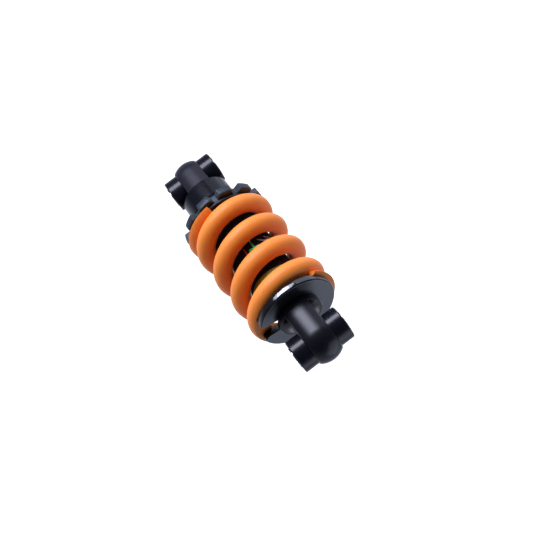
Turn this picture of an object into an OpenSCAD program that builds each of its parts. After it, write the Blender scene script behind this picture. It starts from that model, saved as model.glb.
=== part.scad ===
// Compact coil-over rear shock for a bicycle.
// Origin: centre of the damper-body eye. +Z runs along the shock to the shaft eye, +X along both bolts.

/* [Overall] */
// Distance between the two bolt centres with the shock fully extended
eye_to_eye = 125; // [125:1:140]
// Travel of the shaft from full extension to the bump stop
stroke = 12.5; // [9:0.5:14]
// Height of the preload nut's bearing face above the body eye
nut_face_z = 37.3; // [37.1:0.1:38.5]

/* [Eyes] */
// Outer diameter of each cross tube
eye_tube_d = 17.5; // [16.5:0.1:18.5]
// Width of each cross tube along the bolt
eye_tube_w = 28.8; // [26:0.2:32]
// Diameter of the round-ended head before its sides are cut flat
head_d = 23.3; // [21:0.1:23.6]
// Width of the head between its two flats
head_flat_w = 13.9; // [12:0.1:15]
// Radius on the edges between the head's round and its flats
head_edge_r = 1.8; // [0.8:0.1:2.4]
// Diameter of the bolt hole in the inner sleeves
bolt_hole_d = 8.1; // [7.1:0.1:8.4]
// Outer diameter of the inner sleeves
sleeve_d = 11; // [10.5:0.1:11.2]
// How far each sleeve end stands proud of its cross tube
sleeve_proud = 0.4; // [0.2:0.1:1]

/* [Damper body] */
// Outer diameter of the damper tube over its thread
tube_d = 26.2; // [25.8:0.1:26.4]
// Bore of the damper tube
tube_bore_d = 21.2; // [21.0:0.1:21.6]
// Diameter of the round collar under the body head
collar_d = 26.6; // [26.4:0.1:27.4]
// Pitch of the preload thread
thread_pitch = 1.5; // [1:0.25:2]

/* [Preload nut] */
// Diameter over the nut's lobes
nut_d = 46; // [42:0.5:47.5]
// Number of lobes
nut_lobes = 11; // [8:1:14]
// Depth of the notches between the lobes
notch_depth = 3.4; // [2:0.1:4]
// Height of the lobed rim
nut_rim_h = 4; // [3.4:0.1:4.2]

/* [Spring] */
// Outer diameter of the coil spring
spring_d = 47.5; // [47:0.1:48.5]
// Diameter of the spring wire
wire_d = 9.8; // [9.2:0.1:9.8]
// Turns in the spring, with its closed ends
spring_turns = 4.83; // [4.5:0.01:4.9]
// Remaining wire thickness at the ground tips
tip_h = 2.45; // [2:0.05:3.5]

/* [Spring seat] */
// Diameter of the slotted seat
seat_d = 42.6; // [38:0.5:46]
// Thickness of the seat
seat_h = 3.8; // [2.6:0.1:4]
// Width of the slot that passes the shaft
slot_w = 8.4; // [8.4:0.1:11]
// Direction of the slot round the shock
slot_angle = 352; // [0:1:359]

/* [Shaft] */
// Diameter of the damper shaft
rod_d = 8; // [7.4:0.1:8]
// Height of the bump stop
bump_h = 5; // [3:0.5:6]

/* [Hidden] */
$fn = 96;

black = [0.06, 0.06, 0.07];
soft_black = [0.12, 0.12, 0.13];
steel = [0.62, 0.63, 0.65];
chrome = [0.8, 0.8, 0.82];
brass = [0.72, 0.6, 0.3];
rubber = [0.05, 0.05, 0.05];
orange = [0.9, 0.42, 0.12];
olive = [0.55, 0.56, 0.22];
grey_black = [0.2, 0.2, 0.22];

run_fit = 0.05;   // radial clearance of a running fit
o_ring_r = 0.7;   // half the thickness of every O-ring
slack = 0.02;     // radial clearance of a still joint

// Eyes
tube_r = eye_tube_d / 2;
head_r = head_d / 2;
head_top = 12.8;            // where the body eye's head meets its collar, from the bolt centre
bush_r = 6.5;
bush_w = eye_tube_w - 2.8;
seal_w = 1.1;
sleeve_r = sleeve_d / 2;
sleeve_w = eye_tube_w + 2 * sleeve_proud;

// Damper body, from the body eye up
collar_r = collar_d / 2;
collar_end = 25.2;
spigot_end = 30.5;
groove_z = 27.8;            // O-ring groove in the body eye's spigot
thread_start = 26;
thread_turns = 18;
body_r = tube_d / 2;
bore_r = tube_bore_d / 2;
fill_z = 18;

// Shaft end, from the shaft eye down
boss_r = 12;
boss_top = 16;              // face of the shaft eye's boss, from the bolt centre
boss_h = 3.1;
seat_top = eye_to_eye - boss_top - boss_h;
seat_z = seat_top - seat_h;
seat_corner_r = 3;          // radius on the slot's two outer corners
spigot_r = 9;
socket_end = 11;            // bottom of the rod's socket, from the bolt centre

// Damper inner parts
end_gap = 0.3;
tube_end = seat_z - stroke - end_gap - bump_h;
rod_r = rod_d / 2;
gland_top = tube_end - 2.3;
gland_h = 8.7;
gland_z = gland_top - gland_h;
band_h = 4;
piston_h = 7;
shim_h = 1;
bumper_h = 2.5;
shoulder_z = gland_z - end_gap - bumper_h - shim_h;
piston_top = shoulder_z - shim_h;
piston_z = piston_top - piston_h;
nut_h = 4.5;
stem_r = 3;
stem_end = piston_z - shim_h - nut_h - 0.4;
floating_z = 36;
floating_h = 6.5;

// Preload nut and washer
washer_h = 1;
flange_h = 0.6;
nut_r = nut_d / 2;
flange_r = nut_r - notch_depth - 0.4;
washer_r = 20;
washer_z = nut_face_z - washer_h;
flange_z = washer_z - flange_h;
nut_z = flange_z - nut_rim_h;
nut_turn = 20.2;            // angle of the first lobe

// Spring: wire centre height against turns from the nut end
wire_r = wire_d / 2;
coil_r = spring_d / 2 - wire_r;
tip_angle = 280;            // where the wire starts at the nut
wire_sides = 12;
rings_per_turn = 20;
ring_count = ceil(spring_turns * rings_per_turn);
low_z = nut_face_z + tip_h - wire_r;
high_z = seat_z - tip_h - 0.4 + wire_r;
end_turns = 1;              // closed turns at the nut
close_turns = 0.83;         // turns over which the seat end closes
close_pitch = 8.4;
high_knee = high_z - close_turns * close_pitch;
low_knee = low_z + wire_d + 0.05;
free_pitch = (high_knee - low_knee) / (spring_turns - end_turns - close_turns);

// Solid of revolution about Z from [radius, height] points
module turned(points) {
    rotate_extrude() polygon(points);
}

// Plain ring about Z
module ring(r_out, r_in, z, h) {
    turned([[r_in, z], [r_out, z], [r_out, z + h], [r_in, z + h]]);
}

// Ring with chamfered outer edges
module soft_ring(r_out, r_in, z, h, c) {
    turned([
        [r_in, z],
        [r_out - c, z],
        [r_out, z + c],
        [r_out, z + h - c],
        [r_out - c, z + h],
        [r_in, z + h]
    ]);
}

// O-ring about Z
module o_ring(seat_radius, z) {
    rotate_extrude() translate([seat_radius + o_ring_r, z]) circle(r = o_ring_r - slack, $fn = 32);
}

// Ring about the bolt axis X, from x to x + w
module bolt_ring(r_out, r_in, x, w) {
    translate([x, 0, 0]) rotate([0, 90, 0]) ring(r_out, r_in, 0, w);
}

// Cross tube of an eye, as a solid bar with chamfered ends
module cross_bar() {
    c = 0.5;
    translate([-eye_tube_w / 2, 0, 0]) rotate([0, 90, 0]) soft_ring(tube_r, 0, 0, eye_tube_w, c);
}

// Outline of a head: round, with two flat sides and rounded edges
module head_outline() {
    edge_x = head_flat_w / 2 - head_edge_r;
    edge_y = sqrt(pow(head_r - head_edge_r, 2) - edge_x * edge_x);
    square([head_flat_w, 2 * edge_y], center = true);
    for (x = [-edge_x, edge_x], y = [-edge_y, edge_y]) translate([x, y]) circle(r = head_edge_r);
    intersection() {
        circle(r = head_r);
        for (k = [-3, 3]) polygon([[0, 0], [k * edge_x, k * edge_y], [-k * edge_x, k * edge_y]]);
    }
}

// Head with a barrel-shaped end round the bolt and a straight neck up to the given length
module head(length) {
    linear_extrude(height = length) head_outline();
    rotate([0, 90, 0]) rotate([0, 0, -90]) rotate_extrude(angle = 180) intersection() {
        rotate(90) head_outline();
        translate([0, -head_r]) square(2 * head_r);
    }
}

// Fillet that spreads the neck's flats into a round face of radius r at height z
module neck_flare(r, z) {
    flare = r - head_flat_w / 2;
    rotate_extrude() difference() {
        translate([0, z - flare]) square([r, flare]);
        translate([r, z - flare]) circle(r = flare);
    }
}

// Bush, seals and sleeve of one eye, centred on the bolt
module eye_bush() {
    color(grey_black) bolt_ring(bush_r, sleeve_r + run_fit, -bush_w / 2, bush_w);
}

module eye_seals() {
    color(rubber) for (side = [0, 1]) mirror([side, 0, 0])
        bolt_ring(bush_r, sleeve_r + run_fit, bush_w / 2 + 0.1, seal_w);
}

module eye_sleeve() {
    color(steel) bolt_ring(sleeve_r, bolt_hole_d / 2, -sleeve_w / 2, sleeve_w);
}

module at_shaft_eye() {
    translate([0, 0, eye_to_eye]) mirror([0, 0, 1]) children();
}

module body_eye() {
    color(black) difference() {
        union() {
            cross_bar();
            head(head_top + 1);
            soft_ring(collar_r, 0, head_top, collar_end - head_top, 0.5);
            ring(bore_r - slack, 0, collar_end - 1, spigot_end - collar_end + 1);
        }
        bolt_ring(bush_r, 0, -eye_tube_w, 2 * eye_tube_w);
        ring(bore_r + 1, bore_r - 2 * o_ring_r, groove_z - 1, 2);
        translate([0, 0, fill_z]) rotate([-90, 0, 0]) cylinder(h = collar_r + 1, r = 2);
        translate([0, 0, fill_z]) cylinder(h = spigot_end, r = 1.2);
    }
}

module body_eye_bush() {
    eye_bush();
}

module body_eye_seals() {
    eye_seals();
}

module body_eye_sleeve() {
    eye_sleeve();
}

// Socket-head grub screw that closes the gas filling hole, on the far side of the collar
module fill_plug() {
    length = 4;
    color(steel) translate([0, collar_r - 0.4 - length, fill_z]) rotate([-90, 0, 0]) difference() {
        cylinder(h = length, r = 2 - slack);
        translate([0, 0, length - 1.8]) cylinder(h = 2, r = 1.15, $fn = 6);
    }
}

module head_o_ring() {
    color(rubber) o_ring(bore_r - 2 * o_ring_r, groove_z);
}

// Tube with the preload thread cut in its upper half and a snap-ring groove near its open end
module damper_tube() {
    thread_depth = 0.45;
    thread_end = thread_start + thread_turns * thread_pitch;
    groove_h = 1.1;
    groove_depth = 0.8;
    color(black) turned(concat(
        [[bore_r, collar_end], [body_r - 0.3, collar_end], [body_r - 0.3, thread_start]],
        [for (i = [0 : thread_turns - 1]) each [
            [body_r, thread_start + (i + 0.4) * thread_pitch],
            [body_r, thread_start + (i + 0.6) * thread_pitch],
            [body_r - thread_depth, thread_start + (i + 1) * thread_pitch]
        ]],
        [
            [body_r, thread_end + thread_depth],
            [body_r, tube_end - 0.4],
            [body_r - 0.4, tube_end],
            [bore_r, tube_end],
            [bore_r, gland_top + groove_h + 0.1],
            [bore_r + groove_depth, gland_top + groove_h + 0.1],
            [bore_r + groove_depth, gland_top + 0.1],
            [bore_r, gland_top + 0.1]
        ]
    ));
}

// Thin printed band wrapped round the plain part of the tube
module label_band() {
    band_z = thread_start + thread_turns * thread_pitch + 2;
    color(soft_black) ring(body_r + 0.12, body_r, band_z, tube_end - band_z - 4);
}

// Outline of the lobed rim, with a notch between each pair of lobes
module lobes() {
    step = 360 / nut_lobes;
    floor_r = nut_r - notch_depth;
    floor_w = 2.4;
    mouth_w = 7.4;
    difference() {
        circle(r = nut_r);
        circle(r = body_r + run_fit);
        for (i = [0 : nut_lobes - 1]) rotate(nut_turn + (i + 0.5) * step) polygon([
            [floor_r, -floor_w / 2],
            [nut_r + 1, -mouth_w / 2],
            [nut_r + 1, mouth_w / 2],
            [floor_r, floor_w / 2]
        ]);
    }
}

module preload_nut() {
    color(soft_black) union() {
        translate([0, 0, nut_z]) linear_extrude(height = nut_rim_h) lobes();
        ring(flange_r, body_r + run_fit, flange_z, flange_h);
    }
}

module thrust_washer() {
    color(soft_black) soft_ring(washer_r, body_r + 0.3, washer_z, washer_h, 0.2);
}

// Height of the wire's centre after t turns
function wire_z(t) =
    t < end_turns ? low_z + (low_knee - low_z) * t / end_turns :
    t > spring_turns - close_turns ? high_knee + (t - spring_turns + close_turns) * close_pitch :
    low_knee + (t - end_turns) * free_pitch;

// Mean over half a turn, which rounds the changes of pitch
function smooth_z(t) =
    let (reach = min(0.2, t, spring_turns - t))
    (wire_z(t - reach) + wire_z(t - reach / 2) + wire_z(t) + wire_z(t + reach / 2) + wire_z(t + reach)) / 5;

// Steepest angle on the wire's section that stays inside height z
function cut_angle(z, centre) =
    let (top = 90 - 180 / wire_sides)
    max(-top, min(top, asin(max(-1, min(1, (z - centre) / wire_r)))));

// One section of the wire: a round outline with the ground planes cut off flat
function section(t) =
    let (
        z = smooth_z(t),
        turn = tip_angle + 360 * t,
        top = 90 - 180 / wire_sides,
        low = cut_angle(nut_face_z, z),
        high = cut_angle(seat_z, z)
    )
    [for (k = [0 : wire_sides - 1])
        let (
            base = (k + 0.5) * 360 / wire_sides - 90,
            outer = base < 90,
            rise = outer ? base : 180 - base,
            angle = low + (rise + top) / (2 * top) * (high - low),
            r = coil_r + (outer ? 1 : -1) * wire_r * cos(angle)
        )
        [r * cos(turn), r * sin(turn), z + wire_r * sin(angle)]
    ];

module coil_spring() {
    n = wire_sides;
    points = [for (i = [0 : ring_count]) each section(i * spring_turns / ring_count)];
    side_faces = [for (i = [0 : ring_count - 1], k = [0 : n - 1])
        let (j = (k + 1) % n)
        [i * n + k, (i + 1) * n + k, (i + 1) * n + j, i * n + j]
    ];
    first_end = [for (k = [0 : n - 1]) k];
    last_end = [for (k = [n - 1 : -1 : 0]) ring_count * n + k];
    color(orange) polyhedron(points, concat(side_faces, [first_end, last_end]), convexity = 10);
}

module floating_piston() {
    ring_z = floating_z + 4.2;
    color(brass) difference() {
        soft_ring(bore_r - run_fit, 0, floating_z, floating_h, 0.3);
        translate([0, 0, floating_z - 1]) cylinder(h = 3.2, r = 6.5);
        ring(bore_r + 1, bore_r - 2 * o_ring_r, ring_z - 1, 2);
    }
}

module floating_o_ring() {
    color(rubber) o_ring(bore_r - 2 * o_ring_r, floating_z + 4.2);
}

module seal_head() {
    ring_z = gland_z + 3;
    color(grey_black) difference() {
        turned([
            [rod_r + 0.2, gland_z],
            [bore_r - slack, gland_z],
            [bore_r - slack, gland_top],
            [8.2, gland_top],
            [8.2, gland_top - 3.2],
            [rod_r + 0.2, gland_top - 3.2],
            [rod_r + 0.2, gland_z + 5],
            [rod_r + 1.2, gland_z + 5],
            [rod_r + 1.2, gland_z + 0.5],
            [rod_r + 0.2, gland_z + 0.5]
        ]);
        ring(bore_r + 1, bore_r - 2 * o_ring_r, ring_z - 1, 2);
    }
}

module rod_bush() {
    color(brass) ring(rod_r + 1.2, rod_r + run_fit, gland_z + 0.5, 4.5);
}

module rod_seal() {
    color(rubber) ring(8.2, rod_r + run_fit, gland_top - 3.2, 1.6);
}

module rod_wiper() {
    lip_z = gland_top + 0.9;
    color(rubber) turned([
        [rod_r + run_fit, gland_top - 1.5],
        [8.2, gland_top - 1.5],
        [8.2, gland_top],
        [rod_r + 1.2, gland_top],
        [rod_r + 0.6, lip_z],
        [rod_r + run_fit, lip_z]
    ]);
}

module gland_o_ring() {
    color(rubber) o_ring(bore_r - 2 * o_ring_r, gland_z + 3);
}

module circlip() {
    color(steel) difference() {
        ring(bore_r + 0.75, bore_r - 1.2, gland_top + 0.15, 1);
        translate([0, -2, gland_top - 1]) cube([bore_r + 2, 4, 4]);
    }
}

module bump_stop() {
    color(olive) turned([
        [rod_r + 0.5, tube_end],
        [body_r - 0.5, tube_end],
        [body_r - 0.1, tube_end + 0.4],
        [body_r - 0.1, tube_end + bump_h - 1.2],
        [body_r - 1.3, tube_end + bump_h],
        [rod_r + 1.3, tube_end + bump_h],
        [rod_r + 0.5, tube_end + bump_h - 0.8]
    ]);
}

module piston_rod() {
    rod_end = eye_to_eye - socket_end;
    color(chrome) turned([
        [0, stem_end],
        [stem_r - 0.4, stem_end],
        [stem_r, stem_end + 0.4],
        [stem_r, shoulder_z],
        [rod_r, shoulder_z],
        [rod_r, rod_end - 0.8],
        [rod_r - 0.8, rod_end],
        [0, rod_end]
    ]);
}

// Piston with a ring of oil ports
module piston() {
    ports = 6;
    color(steel) difference() {
        soft_ring(bore_r - 0.3, stem_r + slack, piston_z, piston_h, 0.3);
        ring(bore_r + 1, bore_r - 1, piston_z + (piston_h - band_h) / 2, band_h);
        for (i = [0 : ports - 1])
            rotate([0, 0, i * 360 / ports]) translate([6.3, 0, piston_z - 1]) cylinder(h = piston_h + 2, r = 1.1);
    }
}

module piston_band() {
    color(brass) difference() {
        ring(bore_r - run_fit, bore_r - 1 + slack, piston_z + (piston_h - band_h) / 2, band_h);
        translate([0, -0.5, piston_z]) cube([bore_r + 1, 1, piston_h]);
    }
}

// Stack of thin discs, widest against the piston
module shim_stack(z, up) {
    discs = 4;
    h = shim_h / discs;
    for (i = [0 : discs - 1])
        ring(8.6 - 1.1 * i, stem_r + slack, up ? z + i * h : z - (i + 1) * h, h);
}

module compression_shims() {
    color(steel) shim_stack(piston_z, false);
}

module rebound_shims() {
    color(steel) shim_stack(piston_top, true);
}

module piston_nut() {
    color(steel) translate([0, 0, piston_z - shim_h - nut_h]) difference() {
        cylinder(h = nut_h, r = 5.77, $fn = 6);
        translate([0, 0, -1]) cylinder(h = nut_h + 2, r = stem_r + slack);
    }
}

module top_out_bumper() {
    color(rubber) soft_ring(8, rod_r + slack, shoulder_z + shim_h, bumper_h, 0.4);
}

// Slot with a rounded mouth, out to the rim of the seat
module seat_slot() {
    half = slot_w / 2;
    rim = seat_d / 2;
    corner_y = half + seat_corner_r;
    corner_x = sqrt(pow(rim - seat_corner_r, 2) - corner_y * corner_y);
    reach = (rim + 1) / (rim - seat_corner_r);
    translate([0, -half]) square([seat_d, slot_w]);
    for (side = [-1, 1]) difference() {
        polygon([
            [corner_x, side * corner_y],
            [corner_x, side * (half - 1)],
            [rim + 1, side * (half - 1)],
            [corner_x * reach, side * corner_y * reach]
        ]);
        translate([corner_x, side * corner_y]) circle(r = seat_corner_r);
    }
}

// Slotted disc that slips over the shaft and locates on the shaft eye's spigot
module spring_seat() {
    color(black) difference() {
        soft_ring(seat_d / 2, spigot_r + run_fit, seat_z, seat_h, 0.6);
        rotate([0, 0, slot_angle]) translate([0, 0, seat_z - 1]) linear_extrude(height = seat_h + 2) seat_slot();
    }
}

module shaft_eye() {
    color(black) difference() {
        at_shaft_eye() union() {
            cross_bar();
            head(boss_top + 1);
            neck_flare(boss_r - 0.4, boss_top);
            soft_ring(boss_r, 0, boss_top, boss_h, 0.4);
            ring(spigot_r, 0, boss_top + boss_h - 1, seat_h + 0.8);
        }
        at_shaft_eye() bolt_ring(bush_r, 0, -eye_tube_w, 2 * eye_tube_w);
        translate([0, 0, seat_z - 1]) cylinder(h = eye_to_eye - socket_end - seat_z + 1.2, r = rod_r + slack);
    }
}

module shaft_eye_bush() {
    at_shaft_eye() eye_bush();
}

module shaft_eye_seals() {
    at_shaft_eye() eye_seals();
}

module shaft_eye_sleeve() {
    at_shaft_eye() eye_sleeve();
}

body_eye();
body_eye_bush();
body_eye_seals();
body_eye_sleeve();
fill_plug();
head_o_ring();
damper_tube();
label_band();
preload_nut();
thrust_washer();
coil_spring();
floating_piston();
floating_o_ring();
seal_head();
rod_bush();
rod_seal();
rod_wiper();
gland_o_ring();
circlip();
bump_stop();
piston_rod();
piston();
piston_band();
compression_shims();
rebound_shims();
piston_nut();
top_out_bumper();
spring_seat();
shaft_eye();
shaft_eye_bush();
shaft_eye_seals();
shaft_eye_sleeve();
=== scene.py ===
import math

import bmesh
import bpy
from mathutils import Matrix, Vector


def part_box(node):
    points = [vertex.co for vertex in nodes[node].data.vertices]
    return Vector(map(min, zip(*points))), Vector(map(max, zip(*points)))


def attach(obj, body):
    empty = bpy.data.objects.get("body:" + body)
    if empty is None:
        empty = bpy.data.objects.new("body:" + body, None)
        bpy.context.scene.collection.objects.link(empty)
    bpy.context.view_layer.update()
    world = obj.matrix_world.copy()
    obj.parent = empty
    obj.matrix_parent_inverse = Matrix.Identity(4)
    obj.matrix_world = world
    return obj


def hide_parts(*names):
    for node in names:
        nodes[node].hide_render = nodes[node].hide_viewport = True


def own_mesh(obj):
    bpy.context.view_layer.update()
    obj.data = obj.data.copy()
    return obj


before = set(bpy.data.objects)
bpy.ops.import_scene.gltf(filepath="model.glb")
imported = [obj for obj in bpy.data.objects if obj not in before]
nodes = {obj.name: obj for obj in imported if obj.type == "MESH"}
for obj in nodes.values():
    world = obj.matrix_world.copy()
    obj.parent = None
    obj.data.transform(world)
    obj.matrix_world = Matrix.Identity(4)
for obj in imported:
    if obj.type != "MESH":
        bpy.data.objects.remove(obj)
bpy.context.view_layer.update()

MM = 0.001


# ---------- sizes taken from the frame ----------

def height_range(node):
    low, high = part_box(node)
    return low.z, high.z


SPRING_LOW, SPRING_HIGH = height_range("coil_spring")
SEAT_LOW, SEAT_HIGH = height_range("spring_seat")
SEAT_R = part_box("spring_seat")[1].y
LABEL_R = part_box("label_band")[1].x
BODY_EYE_Z = (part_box("body_eye_sleeve")[0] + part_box("body_eye_sleeve")[1]).z / 2
SHAFT_EYE_Z = (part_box("shaft_eye_sleeve")[0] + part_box("shaft_eye_sleeve")[1]).z / 2
MIDDLE = Vector((0, 0, (BODY_EYE_Z + SHAFT_EYE_Z) / 2))


# ---------- sizes that match part.scad ----------

HEAD_HALF_W = 6.95 * MM    # half the width of the eyes' heads between their flats
COLLAR_Z = 12.8 * MM       # where the body eye's collar starts

WIRE_R = 4.9 * MM
COIL_R = 18.85 * MM        # from the shock's axis to the wire's centre
TURNS = 4.83
TIP_ANGLE = 280            # where the spring starts at the nut end, in degrees from +X
TIP_H = 2.45 * MM          # thickness of the ground tip at the nut end
SEAT_TIP_H = 2.85 * MM     # thickness of the ground tip at the seat end
COIL_GAP = 0.05 * MM       # between the first coil and the second
END_TURNS = 1.0            # turns that lie closed at the nut end
CLOSE_TURNS = 0.83         # turns that lie closer at the seat end
CLOSE_PITCH = 8.4 * MM


# ---------- looks ----------

NOISE_LOW, NOISE_HIGH = 0.3, 0.7     # most of a noise's values lie between these
SLOW = 60.0                          # noise scale of slow changes of colour
GRAIN_DEPTH = 0.05 * MM
EDGE_MARGIN = 0.05 * MM              # keeps a mask's border off the face that it follows

CROSS_TUBE_ROUGH = 0.25
COLLAR_ROUGH = 0.17
EYE_GLOSS = (0.003, 0.0035, 0.0075), (0.0055, 0.006, 0.0115)
EYE_CAST = (0.008, 0.009, 0.017), (0.012, 0.013, 0.023)
TUBE_BLACK = (0.010, 0.014, 0.032), (0.014, 0.019, 0.040)
TUBE_TINT = (0.5, 0.7, 1.0)

SHARP_EDGE = math.radians(35)
SPRING_SIDES = 40
RINGS_PER_TURN = 90
SMOOTHING = 0.2                      # turns over which a change of pitch is spread

FLOOR_SIZE = 12.0
FLOOR_DROP = 0.3                     # below the body eye's centre
COOL_WHITE = (0.92, 0.92, 1.0)
FILL_WHITE = (0.9, 0.92, 1.0)
KEY_DIRECTION = (-0.03, -0.9, -0.42)

# name, direction from the shock's middle, distance, width, height (m), radiance, tint
SOFTBOXES = [
    ("key", KEY_DIRECTION, 0.6, 0.62, 0.28, 3.6, COOL_WHITE),
    ("key_core", KEY_DIRECTION, 0.59, 0.34, 0.24, 5.4, COOL_WHITE),
    ("left_fill", (-0.8, -0.3, -0.5), 0.6, 0.6, 0.45, 0.6, FILL_WHITE),
    ("top_fill", (-0.35, 0.3, 0.89), 0.6, 0.6, 0.5, 0.9, FILL_WHITE),
]

CAMERA_PLACE = (0.01824, -0.42300, 0.36430)
CAMERA_SIGHT = (-0.03906, 0.82293, -0.56680)
CAMERA_UP = (-0.60109, -0.47248, -0.64456)
CAMERA_LENS = 69.02


# ---------- material helpers ----------

class Shader:
    """A node material with a Principled shader and short calls for its inputs."""

    def __init__(self, name):
        self.material = bpy.data.materials.new(name)
        self.material.use_nodes = True
        self.tree = self.material.node_tree
        self.bsdf = self.tree.nodes["Principled BSDF"]
        self.place = self.tree.nodes.new("ShaderNodeTexCoord").outputs["Object"]

    def set(self, **values):
        for key, value in values.items():
            socket = self.bsdf.inputs[key.replace("_", " ")]
            socket.default_value = (*value, 1) if isinstance(value, tuple) else value
        return self

    def link(self, output, name):
        self.tree.links.new(output, self.bsdf.inputs[name])

    def node(self, kind, **options):
        made = self.tree.nodes.new(kind)
        for key, value in options.items():
            setattr(made, key, value)
        return made

    def coordinates(self):
        split = self.node("ShaderNodeSeparateXYZ")
        self.tree.links.new(self.place, split.inputs[0])
        return split.outputs

    def math(self, operation, *values):
        made = self.node("ShaderNodeMath", operation=operation)
        for socket, value in zip(made.inputs, values):
            if isinstance(value, (int, float)):
                socket.default_value = value
            else:
                self.tree.links.new(value, socket)
        return made.outputs[0]

    def length(self, first, second):
        squares = [self.math("MULTIPLY", value, value) for value in (first, second)]
        return self.math("SQRT", self.math("ADD", *squares))

    def noise(self, scale, detail=3.0, stretch=(1, 1, 1)):
        mapping = self.node("ShaderNodeMapping")
        mapping.inputs["Scale"].default_value = stretch
        self.tree.links.new(self.place, mapping.inputs["Vector"])
        made = self.node("ShaderNodeTexNoise")
        made.inputs["Scale"].default_value = scale
        made.inputs["Detail"].default_value = detail
        self.tree.links.new(mapping.outputs[0], made.inputs["Vector"])
        return made.outputs["Fac"]

    def ramp(self, factor, low, high):
        made = self.node("ShaderNodeMapRange")
        self.tree.links.new(factor, made.inputs["Value"])
        made.inputs["From Min"].default_value = NOISE_LOW
        made.inputs["From Max"].default_value = NOISE_HIGH
        made.inputs["To Min"].default_value = low
        made.inputs["To Max"].default_value = high
        return made.outputs[0]

    def blend(self, factor, first, second):
        made = self.node("ShaderNodeMix", data_type="RGBA")
        self.tree.links.new(factor, made.inputs["Factor"])
        for socket, value in ((made.inputs["A"], first), (made.inputs["B"], second)):
            if isinstance(value, tuple):
                socket.default_value = (*value, 1)
            else:
                self.tree.links.new(value, socket)
        return made.outputs["Result"]

    def bump(self, height, strength, distance):
        made = self.node("ShaderNodeBump")
        made.inputs["Strength"].default_value = strength
        made.inputs["Distance"].default_value = distance
        self.tree.links.new(height, made.inputs["Height"])
        self.link(made.outputs[0], "Normal")


def speckled(name, dark, light, rough_low, rough_high, metallic=0.0, grain=900.0, bump=0.1):
    """A surface with slow colour change, fine grain in its gloss and a fine bump."""
    shader = Shader(name).set(Metallic=metallic)
    slow = shader.noise(SLOW)
    fine = shader.noise(grain)
    shader.link(shader.blend(slow, dark, light), "Base Color")
    shader.link(shader.ramp(fine, rough_low, rough_high), "Roughness")
    shader.bump(fine, bump, GRAIN_DEPTH)
    return shader


# ---------- materials ----------

def orange_powder_coat():
    return speckled(
        "orange_powder_coat", (0.88, 0.235, 0.028), (0.95, 0.275, 0.038), 0.43, 0.53, bump=0.12
    ).material


def eye_paint(name, roughness, depth, collar_z=None):
    """Black paint: gloss on the turned cross tubes and collar, satin on the cast head.

    depth scales the head's colour, and collar_z is where the gloss collar starts."""
    shader = Shader(name).set(Specular_Tint=(0.84, 0.87, 1.0))
    x, _, z = shader.coordinates()
    turned = shader.math("GREATER_THAN", shader.math("ABSOLUTE", x), HEAD_HALF_W + EDGE_MARGIN)
    slow, fine = shader.noise(SLOW), shader.noise(1100.0)
    low, high = (tuple(value * depth for value in colour) for colour in EYE_CAST)
    cast = shader.blend(slow, low, high)
    gloss = shader.blend(slow, *EYE_GLOSS)
    satin = shader.ramp(fine, roughness - 0.015, roughness + 0.015)
    smoother = shader.math("MULTIPLY", turned, roughness - CROSS_TUBE_ROUGH)
    rough = shader.math("SUBTRACT", satin, smoother)
    if collar_z:
        collar = shader.math("GREATER_THAN", z, collar_z)
        turned = shader.math("MAXIMUM", turned, collar)
        smoother = shader.math("MULTIPLY", collar, roughness - COLLAR_ROUGH)
        rough = shader.math("SUBTRACT", rough, smoother)
    shader.link(shader.blend(turned, cast, gloss), "Base Color")
    shader.link(rough, "Roughness")
    shader.bump(fine, 0.03, GRAIN_DEPTH)
    return shader.material


def gloss_black_anodise():
    """Turned black disc: fine rings on its faces, a smooth bright rim, and side walls inside the
    rim painted near black as painted shade.
    """
    shader = Shader("gloss_black_anodise").set(Metallic=1.0)
    x, y, z = shader.coordinates()
    radius = shader.length(x, y)
    rings = shader.node("ShaderNodeTexNoise", noise_dimensions="1D")
    rings.inputs["Scale"].default_value = 2600.0
    rings.inputs["Detail"].default_value = 2.0
    shader.tree.links.new(radius, rings.inputs["W"])
    rim = shader.math("GREATER_THAN", radius, SEAT_R - 0.4 * MM)
    depth = shader.math("ABSOLUTE", shader.math("SUBTRACT", z, (SEAT_LOW + SEAT_HIGH) / 2))
    between = shader.math("LESS_THAN", depth, (SEAT_HIGH - SEAT_LOW) / 2 - EDGE_MARGIN)
    # painted shade: the side walls inside the rim, the slot's walls among them, get a near-black
    # base colour instead of the disc's gloss
    shaded_wall = shader.math("MULTIPLY", between, shader.math("SUBTRACT", 1.0, rim))
    gloss = shader.blend(shader.noise(SLOW), (0.13, 0.138, 0.16), (0.165, 0.174, 0.20))
    # the near-black colour is the painted shade on those walls
    shader.link(shader.blend(shaded_wall, gloss, (0.02, 0.021, 0.025)), "Base Color")
    face = shader.ramp(rings.outputs["Fac"], 0.27, 0.35)
    smoother = shader.math("MULTIPLY", rim, 0.17)
    shader.link(shader.math("SUBTRACT", face, smoother), "Roughness")
    shader.bump(rings.outputs["Fac"], 0.05, 0.02 * MM)
    return shader.material


def anodised_nut():
    shader = speckled(
        "anodised_nut", (0.015, 0.021, 0.034), (0.021, 0.029, 0.045), 0.42, 0.52, grain=1400.0
    )
    return shader.set(Specular_IOR_Level=0.75, Specular_Tint=(0.7, 0.82, 1.0)).material


def black_tube():
    shader = speckled("black_tube", *TUBE_BLACK, 0.2, 0.3, bump=0.04)
    return shader.set(Specular_IOR_Level=0.2, Specular_Tint=TUBE_TINT).material


def turned_steel():
    shader = Shader("turned_steel").set(Metallic=1.0)
    lines = shader.noise(260.0, 2.0, (1, 1, 22))
    shader.link(shader.blend(lines, (0.42, 0.43, 0.45), (0.62, 0.63, 0.65)), "Base Color")
    shader.link(shader.ramp(lines, 0.24, 0.4), "Roughness")
    shader.bump(lines, 0.15, 0.03 * MM)
    return shader.material


def machined_aluminium():
    return speckled(
        "machined_aluminium", (0.60, 0.61, 0.63), (0.72, 0.73, 0.75), 0.28, 0.4, metallic=1.0
    ).material


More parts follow.
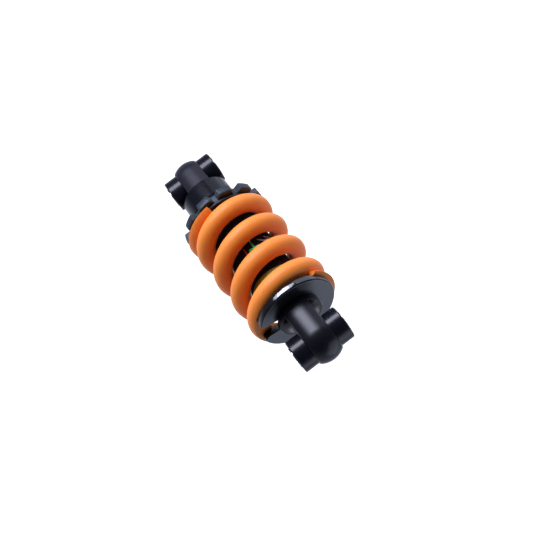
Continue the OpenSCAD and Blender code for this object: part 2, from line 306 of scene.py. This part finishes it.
def hard_chrome():
    shader = Shader("hard_chrome").set(Metallic=1.0)
    haze = shader.noise(300.0, 2.0, (1, 1, 6))
    shader.link(shader.blend(haze, (0.26, 0.26, 0.27), (0.32, 0.32, 0.33)), "Base Color")
    shader.link(shader.ramp(haze, 0.32, 0.42), "Roughness")
    return shader.material


def bearing_bronze():
    return speckled(
        "bearing_bronze", (0.45, 0.30, 0.12), (0.58, 0.40, 0.18), 0.35, 0.5, metallic=1.0
    ).material


def black_rubber():
    return speckled(
        "black_rubber", (0.010, 0.010, 0.011), (0.018, 0.018, 0.020), 0.6, 0.75, bump=0.25
    ).material


def bush_polymer():
    return speckled(
        "bush_polymer", (0.03, 0.03, 0.034), (0.045, 0.045, 0.05), 0.45, 0.6, bump=0.15
    ).material


def olive_polyurethane():
    shader = speckled(
        "olive_polyurethane", (0.29, 0.37, 0.08), (0.35, 0.43, 0.10), 0.35, 0.5, bump=0.15
    )
    return shader.set(Subsurface_Weight=0.1, Subsurface_Scale=1 * MM).material


# ---------- the printed label ----------

class LabelMarks:
    """Masks for marks on the label, which repeats twice round the tube.

    Angles are in degrees from +X, heights and lengths in millimetres."""

    def __init__(self, shader):
        self.shader = shader
        x, y, self.z = shader.coordinates()
        angle = shader.math("ARCTAN2", y, x)
        turn = shader.math("FLOORED_MODULO", angle, math.pi)
        self.across = shader.math("MULTIPLY", turn, LABEL_R)

    def place(self, degrees):
        return math.radians(degrees % 180) * LABEL_R

    def inside(self, value, low, high):
        above = self.shader.math("GREATER_THAN", value, low)
        below = self.shader.math("LESS_THAN", value, high)
        return self.shader.math("MULTIPLY", above, below)

    def stroke(self, from_deg, to_deg, low_z, high_z):
        wide = self.inside(self.across, self.place(from_deg), self.place(to_deg))
        high = self.inside(self.z, low_z * MM, high_z * MM)
        return self.shader.math("MULTIPLY", wide, high)

    def arc(self, centre_deg, centre_z, radius, width, from_z):
        """The part above from_z of a ring."""
        u = self.shader.math("SUBTRACT", self.across, self.place(centre_deg))
        v = self.shader.math("SUBTRACT", self.z, centre_z * MM)
        past = self.shader.math("SUBTRACT", self.shader.length(u, v), radius * MM)
        thin = self.shader.math("LESS_THAN", self.shader.math("ABSOLUTE", past), width / 2 * MM)
        above = self.shader.math("GREATER_THAN", self.z, from_z * MM)
        return self.shader.math("MULTIPLY", thin, above)


def printed_label():
    """Gloss black band with a few plain marks: a green cross, a red stroke, a silver swirl."""
    shader = Shader("printed_label")
    marks = LabelMarks(shader)
    worn = shader.noise(700.0)
    colour = shader.blend(shader.noise(SLOW), *TUBE_BLACK)

    upright, bar = marks.stroke(257.8, 261.4, 62.5, 68.4), marks.stroke(246.0, 272.6, 67.9, 68.7)
    colour = shader.blend(shader.math("MAXIMUM", upright, bar), colour, (0.10, 0.92, 0.26))

    red = marks.stroke(279.8, 282.2, 65.3, 69.6)
    colour = shader.blend(red, colour, (0.72, 0.055, 0.05))

    bow, tail = marks.arc(228.0, 62.5, 3.68, 0.8, 64.2), marks.stroke(201.0, 224.0, 63.3, 64.0)
    swirl = shader.math("MAXIMUM", bow, tail)
    silver = shader.math("MULTIPLY", swirl, shader.ramp(worn, 0.35, 0.9))
    colour = shader.blend(silver, colour, (0.90, 0.90, 1.0))

    shader.link(colour, "Base Color")
    shader.set(Specular_IOR_Level=0.25, Specular_Tint=TUBE_TINT)
    shader.link(shader.ramp(worn, 0.22, 0.34), "Roughness")
    shader.bump(worn, 0.05, 0.03 * MM)
    return shader.material


# ---------- the spring ----------

def spring_centre(t):
    """Height of the wire's centre after t turns from the nut end."""
    low = SPRING_LOW + TIP_H - WIRE_R
    high = SPRING_HIGH - SEAT_TIP_H + WIRE_R
    low_knee = low + 2 * WIRE_R + COIL_GAP
    high_knee = high - CLOSE_TURNS * CLOSE_PITCH
    free_pitch = (high_knee - low_knee) / (TURNS - END_TURNS - CLOSE_TURNS)
    if t < END_TURNS:
        return low + (low_knee - low) * t / END_TURNS
    if t > TURNS - CLOSE_TURNS:
        return high_knee + (t - TURNS + CLOSE_TURNS) * CLOSE_PITCH
    return low_knee + (t - END_TURNS) * free_pitch


def smooth_centre(t):
    """The same height, averaged over the turns nearby."""
    reach = min(SMOOTHING, t, TURNS - t)
    heights = [spring_centre(t + reach * k / 4) for k in range(-4, 5)]
    return sum(heights) / len(heights)


def wire_section(t, sides):
    """One outline of the wire, flat where a ground plane cuts it."""
    z = smooth_centre(t)
    turn = math.radians(TIP_ANGLE + 360 * t)
    top = math.pi / 2 - math.pi / sides

    def cut(plane):
        share = max(-1.0, min(1.0, (plane - z) / WIRE_R))
        return max(-top, min(top, math.asin(share)))

    low, high = cut(SPRING_LOW), cut(SPRING_HIGH)
    points = []
    for k in range(sides):
        base = (k + 0.5) * 2 * math.pi / sides - math.pi / 2
        outer = base < math.pi / 2
        rise = base if outer else math.pi - base
        angle = low + (rise + top) / (2 * top) * (high - low)
        r = COIL_R + (1 if outer else -1) * WIRE_R * math.cos(angle)
        points.append((r * math.cos(turn), r * math.sin(turn), z + WIRE_R * math.sin(angle)))
    return points


def spring_mesh():
    """Outlines joined by faces and capped at both tips, with the ground edges left sharp."""
    rings = int(TURNS * RINGS_PER_TURN)
    mesh = bmesh.new()
    outlines = [
        [mesh.verts.new(p) for p in wire_section(i * TURNS / rings, SPRING_SIDES)]
        for i in range(rings + 1)
    ]
    for first, second in zip(outlines, outlines[1:]):
        for k in range(SPRING_SIDES):
            j = (k + 1) % SPRING_SIDES
            mesh.faces.new((first[k], second[k], second[j], first[j]))
    mesh.faces.new(outlines[0])
    mesh.faces.new(outlines[-1][::-1])
    bmesh.ops.recalc_face_normals(mesh, faces=mesh.faces)
    for face in mesh.faces:
        face.smooth = True
    for edge in mesh.edges:
        edge.smooth = edge.calc_face_angle(0) < SHARP_EDGE
    data = bpy.data.meshes.new("spring_coils")
    mesh.to_mesh(data)
    mesh.free()
    return data


def build_spring():
    data = spring_mesh()
    spring = bpy.data.objects.new("spring_coils", data)
    bpy.context.scene.collection.objects.link(spring)
    data.materials.append(orange_powder_coat())
    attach(spring, "damper_body")
    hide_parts("coil_spring")
    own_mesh(spring)


# ---------- materials on the CAD nodes ----------

def dress(names, material):
    for name in names:
        data = nodes[name].data
        data.materials.clear()
        data.materials.append(material)


def dress_all():
    dress(["body_eye"], eye_paint("body_eye_paint", 0.36, 1.0, COLLAR_Z))
    dress(["shaft_eye"], eye_paint("shaft_eye_paint", 0.29, 0.5))
    dress(["spring_seat"], gloss_black_anodise())
    dress(["damper_tube"], black_tube())
    dress(["label_band"], printed_label())
    dress(["preload_nut", "thrust_washer"], anodised_nut())
    dress(
        ["body_eye_sleeve", "shaft_eye_sleeve", "fill_plug", "circlip", "compression_shims",
         "rebound_shims", "piston_nut"],
        turned_steel(),
    )
    dress(["floating_piston", "seal_head", "piston"], machined_aluminium())
    dress(["piston_rod"], hard_chrome())
    dress(["rod_bush", "piston_band"], bearing_bronze())
    dress(["body_eye_bush", "shaft_eye_bush"], bush_polymer())
    dress(
        ["body_eye_seals", "shaft_eye_seals", "head_o_ring", "floating_o_ring", "gland_o_ring",
         "rod_seal", "rod_wiper", "top_out_bumper"],
        black_rubber(),
    )
    dress(["bump_stop"], olive_polyurethane())


# ---------- softened edges ----------

def soften(name, width):
    """Small rounding on a node's sharp edges."""
    piece = nodes[name]
    weld = piece.modifiers.new("weld", "WELD")
    weld.merge_threshold = 0.002 * MM
    bevel = piece.modifiers.new("edges", "BEVEL")
    bevel.width = width
    bevel.segments = 2
    bevel.limit_method = "ANGLE"
    bevel.angle_limit = SHARP_EDGE
    bevel.harden_normals = True


# ---------- floor, lights, camera ----------

def build_floor():
    half = FLOOR_SIZE / 2
    data = bpy.data.meshes.new("floor")
    data.from_pydata(
        [(-half, -half, 0), (half, -half, 0), (half, half, 0), (-half, half, 0)],
        [],
        [(0, 1, 2, 3)],
    )
    floor = bpy.data.objects.new("floor", data)
    floor.location.z = BODY_EYE_Z - FLOOR_DROP
    floor.visible_glossy = False
    bpy.context.scene.collection.objects.link(floor)
    shader = Shader("pale_floor")
    shader.set(Roughness=0.9, Emission_Color=(1.0, 1.0, 1.0), Emission_Strength=1.1)
    pale = shader.blend(shader.noise(3.0), (0.86, 0.86, 0.86), (0.88, 0.88, 0.88))
    shader.link(pale, "Base Color")
    data.materials.append(shader.material)


def softbox(name, direction, distance, width, height, radiance, tint):
    """An area light that faces the shock's middle and isn't seen by the camera."""
    light = bpy.data.lights.new(name, "AREA")
    light.shape = "RECTANGLE"
    light.size = width
    light.size_y = height
    light.energy = radiance * math.pi * width * height
    light.color = tint
    lamp = bpy.data.objects.new(name, light)
    lamp.location = MIDDLE + Vector(direction).normalized() * distance
    lamp.rotation_euler = (MIDDLE - lamp.location).to_track_quat("-Z", "Y").to_euler()
    lamp.visible_camera = False
    bpy.context.scene.collection.objects.link(lamp)


def sky(world, front, behind, floor_glow):
    """Strength of the sky: front on the -Y side, behind on the +Y side, more below."""
    tree = world.node_tree
    split = tree.nodes.new("ShaderNodeSeparateXYZ")
    tree.links.new(tree.nodes.new("ShaderNodeTexCoord").outputs["Generated"], split.inputs[0])

    def spread(axis, **limits):
        made = tree.nodes.new("ShaderNodeMapRange")
        made.interpolation_type = "SMOOTHSTEP"
        tree.links.new(split.outputs[axis], made.inputs["Value"])
        for name, value in limits.items():
            made.inputs[name.replace("_", " ")].default_value = value
        return made.outputs[0]

    both = tree.nodes.new("ShaderNodeMath")
    both.operation = "MULTIPLY"
    sideways = spread("Y", From_Min=-0.3, From_Max=0.7, To_Min=front, To_Max=behind)
    upwards = spread("Z", From_Min=-0.4, From_Max=0.3, To_Min=floor_glow, To_Max=1.0)
    tree.links.new(sideways, both.inputs[0])
    tree.links.new(upwards, both.inputs[1])
    tree.links.new(both.outputs[0], tree.nodes["Background"].inputs["Strength"])


def build_lights():
    world = bpy.data.worlds.new("studio")
    world.use_nodes = True
    world.node_tree.nodes["Background"].inputs["Color"].default_value = (0.82, 0.87, 1.0, 1)
    sky(world, front=0.05, behind=0.50, floor_glow=2.0)
    bpy.context.scene.world = world
    for box in SOFTBOXES:
        softbox(*box)


def build_camera():
    sight, up = Vector(CAMERA_SIGHT), Vector(CAMERA_UP)
    right = sight.cross(up)
    data = bpy.data.cameras.new("camera")
    data.lens = CAMERA_LENS
    data.sensor_width = 36
    data.clip_start = 0.01
    camera = bpy.data.objects.new("camera", data)
    basis = Matrix((right, up, -sight)).transposed().to_4x4()
    camera.matrix_world = Matrix.Translation(CAMERA_PLACE) @ basis
    bpy.context.scene.collection.objects.link(camera)
    bpy.context.scene.camera = camera


bpy.context.scene.view_settings.view_transform = "Standard"
build_camera()
build_floor()
build_lights()
build_spring()
dress_all()
soften("preload_nut", 0.25 * MM)
soften("spring_seat", 0.2 * MM)
